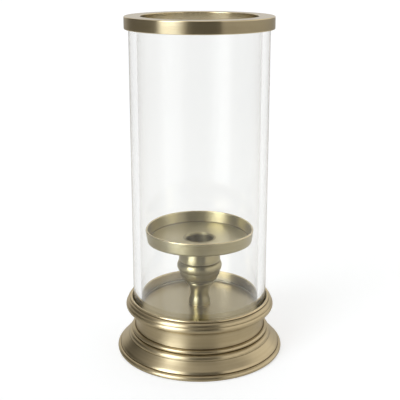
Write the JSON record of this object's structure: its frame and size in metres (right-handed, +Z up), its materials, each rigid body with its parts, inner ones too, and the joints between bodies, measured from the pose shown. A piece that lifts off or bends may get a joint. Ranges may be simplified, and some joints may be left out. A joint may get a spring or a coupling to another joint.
{
  "type": "hurricane candle lantern",
  "caption": "Round moulded metal base with a clear glass tube that lifts off, a ring over the tube's rim, and a turned stem inside that carries a candle dish with a taper socket.",
  "frame": {"origin": "centre of the felt's underside, which stands on the table", "axes": "+Z up, along the lantern's axis; the lantern looks the same from every side"},
  "size_m": [0.127, 0.127, 0.254],
  "materials": {
    "antique_brass": "aged, satin, brushed round the axis",
    "polished_brass": "aged, polished",
    "zinc_steel": "zinc plated",
    "black_steel": "black, matt",
    "clear_glass": "clear, fire-polished rims",
    "silicone": "translucent silicone",
    "felt": "black felt"
  },
  "bodies": {
    "base": {"base_felt": "felt", "closure_plate": "black_steel", "foot_shell": "antique_brass", "step_ring": "antique_brass", "neck_shell": "antique_brass", "gallery_collar": "antique_brass", "gallery_floor": "polished_brass", "glass_seat": "silicone", "stem_shaft": "antique_brass", "stem_bell": "antique_brass", "stem_knop": "antique_brass", "socket_cup": "antique_brass", "candle_dish": "antique_brass", "taper_socket": "antique_brass", "clamp_plate": "zinc_steel", "tie_washer": "zinc_steel", "lock_washer": "zinc_steel", "tie_nut": "zinc_steel", "tie_rod": "zinc_steel"},
    "chimney": {"glass_chimney": "clear_glass"},
    "rim": {"top_ring": "antique_brass", "ring_gasket": "silicone"}
  },
  "joints": [
    {"name": "chimney_lift", "type": "slide", "parent": "base", "child": "chimney", "axis": [0, 0, 1], "range_m": [0, 0.07]},
    {"name": "ring_lift", "type": "slide", "parent": "chimney", "child": "rim", "axis": [0, 0, 1], "range_m": [0, 0.015]}
  ]
}
